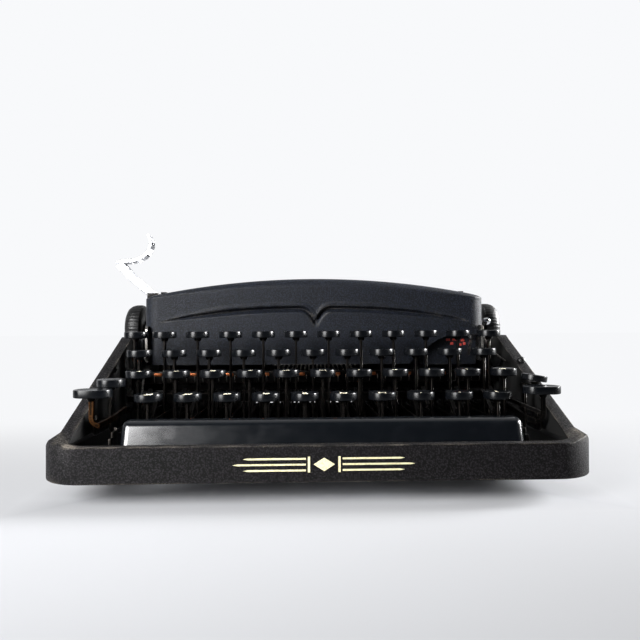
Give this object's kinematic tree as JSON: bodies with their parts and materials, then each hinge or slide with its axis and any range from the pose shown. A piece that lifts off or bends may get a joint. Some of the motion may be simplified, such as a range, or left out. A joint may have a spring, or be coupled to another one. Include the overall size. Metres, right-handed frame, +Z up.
{
  "type": "portable typewriter",
  "caption": "Black portable manual typewriter with round keys, space bar, arched ribbon cover, sliding carriage with platen and a bright line space lever.",
  "frame": {"origin": "on the table under the middle of the footprint", "axes": "+Z up, +Y to the back, +X to the typist's right"},
  "size_m": [0.2739, 0.285, 0.1436],
  "materials": {
    "crinkle_enamel": "black crinkle enamel",
    "key_lever": "gloss black key top on blackened steel",
    "black_bakelite": "polished black",
    "bright_steel": "plain steel, slightly dulled",
    "bright_chrome": "bright plating",
    "platen_rubber": "ground black rubber",
    "foot_rubber": "matt black rubber",
    "ribbon": "inked cotton ribbon on steel spools"
  },
  "bodies": {
    "frame": {"base_frame": "crinkle_enamel", "cross_rails": "bright_steel", "rubber_feet": "foot_rubber"},
    "cover": {"top_cover": "crinkle_enamel"},
    "carriage": {"carriage_frame": "crinkle_enamel", "paper_table": "crinkle_enamel"},
    "platen": {"platen": "platen_rubber"},
    "line_space_lever": {"line_space_lever": "bright_chrome"},
    "paper_bail": {"paper_bail": "bright_chrome"},
    "type_basket": {"type_basket": "bright_steel"},
    "ribbon_spool_left": {"ribbon_spool_left": "ribbon"},
    "ribbon_spool_right": {"ribbon_spool_right": "ribbon"},
    "space_bar": {"space_bar": "black_bakelite"},
    "shift_keys": {"shift_keys": "key_lever"},
    "back_space_key": {"back_space_key": "key_lever"},
    "margin_release_key": {"margin_release_key": "key_lever"},
    "shift_lock_key": {"shift_lock_key": "key_lever"},
    "tabulator_key": {"tabulator_key": "key_lever"},
    "key_z": {"key_z": "key_lever"},
    "key_x": {"key_x": "key_lever"},
    "key_c": {"key_c": "key_lever"},
    "key_v": {"key_v": "key_lever"},
    "key_b": {"key_b": "key_lever"},
    "key_n": {"key_n": "key_lever"},
    "key_m": {"key_m": "key_lever"},
    "key_comma": {"key_comma": "key_lever"},
    "key_period": {"key_period": "key_lever"},
    "key_slash": {"key_slash": "key_lever"},
    "key_a": {"key_a": "key_lever"},
    "key_s": {"key_s": "key_lever"},
    "key_d": {"key_d": "key_lever"},
    "key_f": {"key_f": "key_lever"},
    "key_g": {"key_g": "key_lever"},
    "key_h": {"key_h": "key_lever"},
    "key_j": {"key_j": "key_lever"},
    "key_k": {"key_k": "key_lever"},
    "key_l": {"key_l": "key_lever"},
    "key_semicolon": {"key_semicolon": "key_lever"},
    "key_apostrophe": {"key_apostrophe": "key_lever"},
    "key_q": {"key_q": "key_lever"},
    "key_w": {"key_w": "key_lever"},
    "key_e": {"key_e": "key_lever"},
    "key_r": {"key_r": "key_lever"},
    "key_t": {"key_t": "key_lever"},
    "key_y": {"key_y": "key_lever"},
    "key_u": {"key_u": "key_lever"},
    "key_i": {"key_i": "key_lever"},
    "key_o": {"key_o": "key_lever"},
    "key_p": {"key_p": "key_lever"},
    "key_half": {"key_half": "key_lever"},
    "key_2": {"key_2": "key_lever"},
    "key_3": {"key_3": "key_lever"},
    "key_4": {"key_4": "key_lever"},
    "key_5": {"key_5": "key_lever"},
    "key_6": {"key_6": "key_lever"},
    "key_7": {"key_7": "key_lever"},
    "key_8": {"key_8": "key_lever"},
    "key_9": {"key_9": "key_lever"},
    "key_0": {"key_0": "key_lever"},
    "key_hyphen": {"key_hyphen": "key_lever"}
  },
  "joints": [
    {"name": "carriage_travel", "type": "slide", "parent": "frame", "child": "carriage", "axis": [1, 0, 0], "range_m": [-0.105, 0.105]},
    {"name": "platen_turn", "type": "hinge", "parent": "carriage", "child": "platen", "pos_m": [0, 0.0305, 0.0774], "axis": [1, 0, 0], "continuous": true},
    {"name": "return_lever_swing", "type": "hinge", "parent": "carriage", "child": "line_space_lever", "pos_m": [-0.111, 0.019, 0.098], "axis": [0, 1, 0], "range_deg": [0, 20], "stiffness_Nm_per_rad": 0.15, "springref_deg": -34.38},
    {"name": "paper_bail_swing", "type": "hinge", "parent": "carriage", "child": "paper_bail", "pos_m": [0, 0.0485, 0.1005], "axis": [-1, 0, 0], "range_deg": [0, 60]},
    {"name": "cover_tilt", "type": "hinge", "parent": "frame", "child": "cover", "pos_m": [0, -0.028, 0.0615], "axis": [1, 0, 0], "range_deg": [0, 25]},
    {"name": "shift_press", "type": "hinge", "parent": "frame", "child": "shift_keys", "pos_m": [0, 0.0725, 0.029], "axis": [1, 0, 0], "range_deg": [0, 1.68], "stiffness_Nm_per_rad": 2, "springref_deg": -14.32},
    {"name": "type_basket_drop", "type": "slide", "parent": "frame", "child": "type_basket", "axis": [0, 0, -1], "range_m": [0, 0.0061]},
    {"name": "space_bar_press", "type": "hinge", "parent": "frame", "child": "space_bar", "pos_m": [0, 0.0725, 0.029], "axis": [1, 0, 0], "range_deg": [0, 2.01], "stiffness_Nm_per_rad": 1.2, "springref_deg": -11.46},
    {"name": "shift_lock_press", "type": "hinge", "parent": "frame", "child": "shift_lock_key", "pos_m": [0, 0.0725, 0.029], "axis": [1, 0, 0], "range_deg": [0, 1.49], "stiffness_Nm_per_rad": 0.5, "springref_deg": -11.46},
    {"name": "back_space_press", "type": "hinge", "parent": "frame", "child": "back_space_key", "pos_m": [0, 0.0725, 0.029], "axis": [1, 0, 0], "range_deg": [0, 4.14], "stiffness_Nm_per_rad": 0.5, "springref_deg": -11.46},
    {"name": "margin_release_press", "type": "hinge", "parent": "frame", "child": "margin_release_key", "pos_m": [0, 0.0725, 0.029], "axis": [1, 0, 0], "range_deg": [0, 3.22], "stiffness_Nm_per_rad": 0.5, "springref_deg": -11.46},
    {"name": "tabulator_press", "type": "hinge", "parent": "frame", "child": "tabulator_key", "pos_m": [0, 0.0725, 0.029], "axis": [1, 0, 0], "range_deg": [0, 1.29], "stiffness_Nm_per_rad": 0.5, "springref_deg": -11.46},
    {"name": "ribbon_left_turn", "type": "hinge", "parent": "frame", "child": "ribbon_spool_left", "pos_m": [-0.08, -0.0115, 0.085], "axis": [0, 0, 1], "continuous": true},
    {"name": "ribbon_right_turn", "type": "hinge", "parent": "frame", "child": "ribbon_spool_right", "pos_m": [0.08, -0.0115, 0.085], "axis": [0, 0, 1], "continuous": true},
    {"name": "type_z_press", "type": "hinge", "parent": "frame", "child": "key_z", "pos_m": [0, 0.0725, 0.029], "axis": [1, 0, 0], "range_deg": [0, 3.49], "stiffness_Nm_per_rad": 0.5, "springref_deg": -11.46},
    {"name": "type_x_press", "type": "hinge", "parent": "frame", "child": "key_x", "pos_m": [0, 0.0725, 0.029], "axis": [1, 0, 0], "range_deg": [0, 3.49], "stiffness_Nm_per_rad": 0.5, "springref_deg": -11.46},
    {"name": "type_c_press", "type": "hinge", "parent": "frame", "child": "key_c", "pos_m": [0, 0.0725, 0.029], "axis": [1, 0, 0], "range_deg": [0, 3.49], "stiffness_Nm_per_rad": 0.5, "springref_deg": -11.46},
    {"name": "type_v_press", "type": "hinge", "parent": "frame", "child": "key_v", "pos_m": [0, 0.0725, 0.029], "axis": [1, 0, 0], "range_deg": [0, 3.49], "stiffness_Nm_per_rad": 0.5, "springref_deg": -11.46},
    {"name": "type_b_press", "type": "hinge", "parent": "frame", "child": "key_b", "pos_m": [0, 0.0725, 0.029], "axis": [1, 0, 0], "range_deg": [0, 3.49], "stiffness_Nm_per_rad": 0.5, "springref_deg": -11.46},
    {"name": "type_n_press", "type": "hinge", "parent": "frame", "child": "key_n", "pos_m": [0, 0.0725, 0.029], "axis": [1, 0, 0], "range_deg": [0, 3.49], "stiffness_Nm_per_rad": 0.5, "springref_deg": -11.46},
    {"name": "type_m_press", "type": "hinge", "parent": "frame", "child": "key_m", "pos_m": [0, 0.0725, 0.029], "axis": [1, 0, 0], "range_deg": [0, 3.49], "stiffness_Nm_per_rad": 0.5, "springref_deg": -11.46},
    {"name": "type_comma_press", "type": "hinge", "parent": "frame", "child": "key_comma", "pos_m": [0, 0.0725, 0.029], "axis": [1, 0, 0], "range_deg": [0, 3.49], "stiffness_Nm_per_rad": 0.5, "springref_deg": -11.46},
    {"name": "type_period_press", "type": "hinge", "parent": "frame", "child": "key_period", "pos_m": [0, 0.0725, 0.029], "axis": [1, 0, 0], "range_deg": [0, 3.49], "stiffness_Nm_per_rad": 0.5, "springref_deg": -11.46},
    {"name": "type_slash_press", "type": "hinge", "parent": "frame", "child": "key_slash", "pos_m": [0, 0.0725, 0.029], "axis": [1, 0, 0], "range_deg": [0, 3.49], "stiffness_Nm_per_rad": 0.5, "springref_deg": -11.46},
    {"name": "type_a_press", "type": "hinge", "parent": "frame", "child": "key_a", "pos_m": [0, 0.0725, 0.029], "axis": [1, 0, 0], "range_deg": [0, 3.9], "stiffness_Nm_per_rad": 0.5, "springref_deg": -11.46},
    {"name": "type_s_press", "type": "hinge", "parent": "frame", "child": "key_s", "pos_m": [0, 0.0725, 0.029], "axis": [1, 0, 0], "range_deg": [0, 3.9], "stiffness_Nm_per_rad": 0.5, "springref_deg": -11.46},
    {"name": "type_d_press", "type": "hinge", "parent": "frame", "child": "key_d", "pos_m": [0, 0.0725, 0.029], "axis": [1, 0, 0], "range_deg": [0, 3.9], "stiffness_Nm_per_rad": 0.5, "springref_deg": -11.46},
    {"name": "type_f_press", "type": "hinge", "parent": "frame", "child": "key_f", "pos_m": [0, 0.0725, 0.029], "axis": [1, 0, 0], "range_deg": [0, 3.9], "stiffness_Nm_per_rad": 0.5, "springref_deg": -11.46},
    {"name": "type_g_press", "type": "hinge", "parent": "frame", "child": "key_g", "pos_m": [0, 0.0725, 0.029], "axis": [1, 0, 0], "range_deg": [0, 3.9], "stiffness_Nm_per_rad": 0.5, "springref_deg": -11.46},
    {"name": "type_h_press", "type": "hinge", "parent": "frame", "child": "key_h", "pos_m": [0, 0.0725, 0.029], "axis": [1, 0, 0], "range_deg": [0, 3.9], "stiffness_Nm_per_rad": 0.5, "springref_deg": -11.46},
    {"name": "type_j_press", "type": "hinge", "parent": "frame", "child": "key_j", "pos_m": [0, 0.0725, 0.029], "axis": [1, 0, 0], "range_deg": [0, 3.9], "stiffness_Nm_per_rad": 0.5, "springref_deg": -11.46},
    {"name": "type_k_press", "type": "hinge", "parent": "frame", "child": "key_k", "pos_m": [0, 0.0725, 0.029], "axis": [1, 0, 0], "range_deg": [0, 3.9], "stiffness_Nm_per_rad": 0.5, "springref_deg": -11.46},
    {"name": "type_l_press", "type": "hinge", "parent": "frame", "child": "key_l", "pos_m": [0, 0.0725, 0.029], "axis": [1, 0, 0], "range_deg": [0, 3.9], "stiffness_Nm_per_rad": 0.5, "springref_deg": -11.46},
    {"name": "type_semicolon_press", "type": "hinge", "parent": "frame", "child": "key_semicolon", "pos_m": [0, 0.0725, 0.029], "axis": [1, 0, 0], "range_deg": [0, 3.9], "stiffness_Nm_per_rad": 0.5, "springref_deg": -11.46},
    {"name": "type_apostrophe_press", "type": "hinge", "parent": "frame", "child": "key_apostrophe", "pos_m": [0, 0.0725, 0.029], "axis": [1, 0, 0], "range_deg": [0, 3.9], "stiffness_Nm_per_rad": 0.5, "springref_deg": -11.46},
    {"name": "type_q_press", "type": "hinge", "parent": "frame", "child": "key_q", "pos_m": [0, 0.0725, 0.029], "axis": [1, 0, 0], "range_deg": [0, 4.4], "stiffness_Nm_per_rad": 0.5, "springref_deg": -11.46},
    {"name": "type_w_press", "type": "hinge", "parent": "frame", "child": "key_w", "pos_m": [0, 0.0725, 0.029], "axis": [1, 0, 0], "range_deg": [0, 4.4], "stiffness_Nm_per_rad": 0.5, "springref_deg": -11.46},
    {"name": "type_e_press", "type": "hinge", "parent": "frame", "child": "key_e", "pos_m": [0, 0.0725, 0.029], "axis": [1, 0, 0], "range_deg": [0, 4.4], "stiffness_Nm_per_rad": 0.5, "springref_deg": -11.46},
    {"name": "type_r_press", "type": "hinge", "parent": "frame", "child": "key_r", "pos_m": [0, 0.0725, 0.029], "axis": [1, 0, 0], "range_deg": [0, 4.4], "stiffness_Nm_per_rad": 0.5, "springref_deg": -11.46},
    {"name": "type_t_press", "type": "hinge", "parent": "frame", "child": "key_t", "pos_m": [0, 0.0725, 0.029], "axis": [1, 0, 0], "range_deg": [0, 4.4], "stiffness_Nm_per_rad": 0.5, "springref_deg": -11.46},
    {"name": "type_y_press", "type": "hinge", "parent": "frame", "child": "key_y", "pos_m": [0, 0.0725, 0.029], "axis": [1, 0, 0], "range_deg": [0, 4.4], "stiffness_Nm_per_rad": 0.5, "springref_deg": -11.46},
    {"name": "type_u_press", "type": "hinge", "parent": "frame", "child": "key_u", "pos_m": [0, 0.0725, 0.029], "axis": [1, 0, 0], "range_deg": [0, 4.4], "stiffness_Nm_per_rad": 0.5, "springref_deg": -11.46},
    {"name": "type_i_press", "type": "hinge", "parent": "frame", "child": "key_i", "pos_m": [0, 0.0725, 0.029], "axis": [1, 0, 0], "range_deg": [0, 4.4], "stiffness_Nm_per_rad": 0.5, "springref_deg": -11.46},
    {"name": "type_o_press", "type": "hinge", "parent": "frame", "child": "key_o", "pos_m": [0, 0.0725, 0.029], "axis": [1, 0, 0], "range_deg": [0, 4.4], "stiffness_Nm_per_rad": 0.5, "springref_deg": -11.46},
    {"name": "type_p_press", "type": "hinge", "parent": "frame", "child": "key_p", "pos_m": [0, 0.0725, 0.029], "axis": [1, 0, 0], "range_deg": [0, 4.4], "stiffness_Nm_per_rad": 0.5, "springref_deg": -11.46},
    {"name": "type_half_press", "type": "hinge", "parent": "frame", "child": "key_half", "pos_m": [0, 0.0725, 0.029], "axis": [1, 0, 0], "range_deg": [0, 4.4], "stiffness_Nm_per_rad": 0.5, "springref_deg": -11.46},
    {"name": "type_2_press", "type": "hinge", "parent": "frame", "child": "key_2", "pos_m": [0, 0.0725, 0.029], "axis": [1, 0, 0], "range_deg": [0, 5.06], "stiffness_Nm_per_rad": 0.5, "springref_deg": -11.46},
    {"name": "type_3_press", "type": "hinge", "parent": "frame", "child": "key_3", "pos_m": [0, 0.0725, 0.029], "axis": [1, 0, 0], "range_deg": [0, 5.06], "stiffness_Nm_per_rad": 0.5, "springref_deg": -11.46},
    {"name": "type_4_press", "type": "hinge", "parent": "frame", "child": "key_4", "pos_m": [0, 0.0725, 0.029], "axis": [1, 0, 0], "range_deg": [0, 5.06], "stiffness_Nm_per_rad": 0.5, "springref_deg": -11.46},
    {"name": "type_5_press", "type": "hinge", "parent": "frame", "child": "key_5", "pos_m": [0, 0.0725, 0.029], "axis": [1, 0, 0], "range_deg": [0, 5.06], "stiffness_Nm_per_rad": 0.5, "springref_deg": -11.46},
    {"name": "type_6_press", "type": "hinge", "parent": "frame", "child": "key_6", "pos_m": [0, 0.0725, 0.029], "axis": [1, 0, 0], "range_deg": [0, 5.06], "stiffness_Nm_per_rad": 0.5, "springref_deg": -11.46},
    {"name": "type_7_press", "type": "hinge", "parent": "frame", "child": "key_7", "pos_m": [0, 0.0725, 0.029], "axis": [1, 0, 0], "range_deg": [0, 5.06], "stiffness_Nm_per_rad": 0.5, "springref_deg": -11.46},
    {"name": "type_8_press", "type": "hinge", "parent": "frame", "child": "key_8", "pos_m": [0, 0.0725, 0.029], "axis": [1, 0, 0], "range_deg": [0, 5.06], "stiffness_Nm_per_rad": 0.5, "springref_deg": -11.46},
    {"name": "type_9_press", "type": "hinge", "parent": "frame", "child": "key_9", "pos_m": [0, 0.0725, 0.029], "axis": [1, 0, 0], "range_deg": [0, 5.06], "stiffness_Nm_per_rad": 0.5, "springref_deg": -11.46},
    {"name": "type_0_press", "type": "hinge", "parent": "frame", "child": "key_0", "pos_m": [0, 0.0725, 0.029], "axis": [1, 0, 0], "range_deg": [0, 5.06], "stiffness_Nm_per_rad": 0.5, "springref_deg": -11.46},
    {"name": "type_hyphen_press", "type": "hinge", "parent": "frame", "child": "key_hyphen", "pos_m": [0, 0.0725, 0.029], "axis": [1, 0, 0], "range_deg": [0, 5.06], "stiffness_Nm_per_rad": 0.5, "springref_deg": -11.46}
  ],
  "couplings": [
    {"joint": "type_basket_drop", "follows": "shift_press", "m_per_rad": 0.20438}
  ]
}
